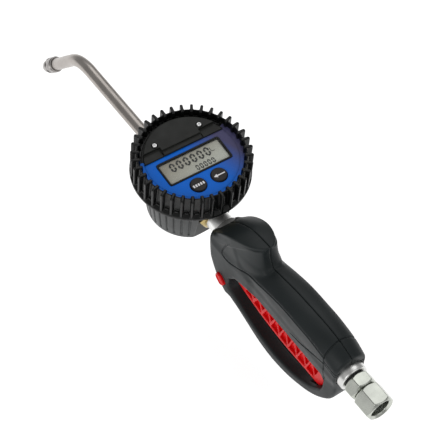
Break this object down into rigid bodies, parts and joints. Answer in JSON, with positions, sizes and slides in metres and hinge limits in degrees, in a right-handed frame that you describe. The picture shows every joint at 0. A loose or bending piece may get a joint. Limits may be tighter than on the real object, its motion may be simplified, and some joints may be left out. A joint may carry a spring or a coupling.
{
  "type": "metered oil control gun",
  "caption": "Hand-held oil control gun: trigger handle with guard and swivel inlet, round digital flow meter in a ribbed rubber boot, and a bent rigid spout.",
  "frame": {"origin": "centre of the mouth of the swivel nut's female thread, on the oil line's axis", "axes": "+X with the oil flow along handle and spout, +Z out of the display face, +Y to the gun's left side"},
  "size_m": [0.5171, 0.11, 0.132],
  "materials": {
    "handle_plastic": "fine moulded texture",
    "trigger_plastic": "gloss",
    "zinc_steel": "zinc plated, turned and milled",
    "chrome": "polished",
    "brass": "turned",
    "valve_casting": "cast",
    "valve_steel": "turned",
    "spring_steel": "drawn wire",
    "seal_rubber": "smooth",
    "meter_casting": "dark grey powder coat",
    "gear_polymer": "moulded",
    "magnet": "nickel plated",
    "boot_rubber": "moulded",
    "display_plastic": "moulded",
    "label_film": "printed film",
    "lcd_panel": "reflective display",
    "lcd_glass": "clear",
    "button_rubber": "moulded",
    "board": "solder mask",
    "battery_cell": "printed sleeve",
    "screw_steel": "plated"
  },
  "bodies": {
    "gun": {"swivel_stem": "zinc_steel", "inlet_strainer": "valve_steel", "inlet_o_ring": "seal_rubber", "inlet_collar": "chrome", "valve_body": "valve_casting", "valve_bonnet": "valve_steel", "valve_seat": "valve_steel", "stem_gland": "seal_rubber", "valve_spring": "spring_steel", "left_cover": "handle_plastic", "right_cover": "handle_plastic", "handle_screws": "screw_steel", "trigger_pin": "valve_steel", "trigger_spring": "spring_steel", "outlet_collar": "chrome", "port_adapter": "brass", "meter_body": "meter_casting", "gear_shafts": "valve_steel", "chamber_cover": "meter_casting", "chamber_screws": "screw_steel", "chamber_seal": "seal_rubber", "display_housing": "display_plastic", "circuit_board": "board", "battery": "battery_cell", "battery_cover": "display_plastic", "battery_cover_screws": "screw_steel", "label_plate": "label_film", "lcd_bezel": "display_plastic", "lcd_module": "lcd_panel", "lcd_window": "lcd_glass", "rubber_boot": "boot_rubber", "union_nut": "chrome", "ferrule": "brass", "spout_tube": "chrome", "tip_body": "chrome"},
    "swivel_nut": {"swivel_nut": "zinc_steel"},
    "trigger": {"trigger": "trigger_plastic"},
    "valve_stem": {"valve_stem": "valve_steel"},
    "lock_button": {"lock_button": "trigger_plastic"},
    "total_button": {"total_button": "button_rubber"},
    "reset_button": {"reset_button": "button_rubber"},
    "gear_a": {"metering_gear_a": "gear_polymer", "gear_magnets": "magnet"},
    "gear_b": {"metering_gear_b": "gear_polymer"},
    "tip_sleeve": {"tip_sleeve": "chrome"},
    "tip_poppet": {"tip_poppet": "brass"}
  },
  "joints": [
    {"name": "inlet_swivel", "type": "hinge", "parent": "gun", "child": "swivel_nut", "pos_m": [0, 0, 0], "axis": [1, 0, 0], "continuous": true},
    {"name": "trigger_pull", "type": "hinge", "parent": "gun", "child": "trigger", "pos_m": [0.199, 0, -0.025], "axis": [0, 1, 0], "range_deg": [0, 6], "stiffness_Nm_per_rad": 6, "springref_deg": -3.44},
    {"name": "valve_lift", "type": "slide", "parent": "gun", "child": "valve_stem", "axis": [0, 0, 1], "range_m": [0, 0.00255], "deforming": ["valve_spring"]},
    {"name": "lock_press", "type": "slide", "parent": "gun", "child": "lock_button", "axis": [0, -1, 0], "range_m": [0, 0.0035]},
    {"name": "total_press", "type": "slide", "parent": "gun", "child": "total_button", "axis": [0, 0, -1], "range_m": [0, 0.001], "stiffness_N_per_m": 400, "springref_m": -0.0005},
    {"name": "reset_press", "type": "slide", "parent": "gun", "child": "reset_button", "axis": [0, 0, -1], "range_m": [0, 0.001], "stiffness_N_per_m": 400, "springref_m": -0.0005},
    {"name": "gear_a_spin", "type": "hinge", "parent": "gun", "child": "gear_a", "pos_m": [0.281, 0.01205, 0], "axis": [0, 0, 1], "continuous": true},
    {"name": "gear_b_spin", "type": "hinge", "parent": "gun", "child": "gear_b", "pos_m": [0.281, -0.01205, 0], "axis": [0, 0, 1], "continuous": true},
    {"name": "tip_twist", "type": "hinge", "parent": "gun", "child": "tip_sleeve", "pos_m": [0.49628, 0, -0.04813], "axis": [0.6225, 0, -0.7826], "range_deg": [0, 90]},
    {"name": "tip_poppet_lift", "type": "slide", "parent": "gun", "child": "tip_poppet", "axis": [-0.6225, 0, 0.7826], "range_m": [0, 0.0018]}
  ],
  "couplings": [
    {"joint": "valve_lift", "follows": "trigger_pull", "m_per_rad": 0.0242},
    {"joint": "gear_b_spin", "follows": "gear_a_spin", "ratio": -1},
    {"joint": "tip_poppet_lift", "follows": "tip_twist", "m_per_rad": 0.001145}
  ]
}
